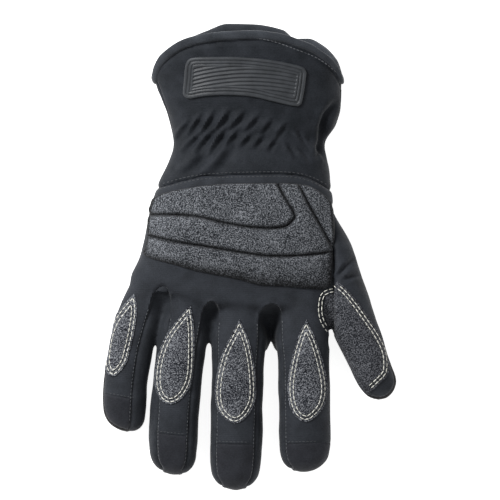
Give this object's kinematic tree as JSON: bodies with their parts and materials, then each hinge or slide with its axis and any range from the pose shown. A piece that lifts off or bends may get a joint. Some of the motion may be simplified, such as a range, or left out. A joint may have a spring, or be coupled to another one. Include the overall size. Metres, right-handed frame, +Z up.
{
  "type": "extrication glove",
  "caption": "Right-hand rescue glove with padded knuckles and fingers, a gathered elastic wrist and a bound cuff, worn to protect the hand.",
  "frame": {"origin": "centre of the bounding box at its bottom, on the surface that the glove lies on", "axes": "+Z up from the palm to the back of the hand, -Y along the fingers, +Y to the cuff, +X to the thumb"},
  "size_m": [0.1674, 0.267, 0.0494],
  "materials": {
    "stretch_fabric": "matt knit",
    "tip_fabric": "matt knit",
    "cuff_fabric": "matt knit",
    "palm_fabric": "matt suede",
    "pad_fabric": "speckled heather",
    "patch_fabric": "speckled heather",
    "binding_fabric": "folded tape",
    "badge_rubber": "satin moulded"
  },
  "bodies": {
    "root": {"back_panel": "stretch_fabric", "palm_panel": "palm_fabric", "fourchette_little_ring": "stretch_fabric", "fourchette_ring_middle": "stretch_fabric", "fourchette_middle_index": "stretch_fabric", "fingertip_little": "tip_fabric", "fingertip_ring": "tip_fabric", "fingertip_middle": "tip_fabric", "fingertip_index": "tip_fabric", "thumb_back": "stretch_fabric", "thumb_palm": "palm_fabric", "thumb_patch": "patch_fabric", "knuckle_pad": "pad_fabric", "finger_pad_little": "pad_fabric", "finger_pad_ring": "pad_fabric", "finger_pad_middle": "pad_fabric", "finger_pad_index": "pad_fabric", "cuff_back": "cuff_fabric", "cuff_palm": "cuff_fabric", "cuff_binding": "binding_fabric", "cuff_badge": "badge_rubber"}
  },
  "joints": []
}
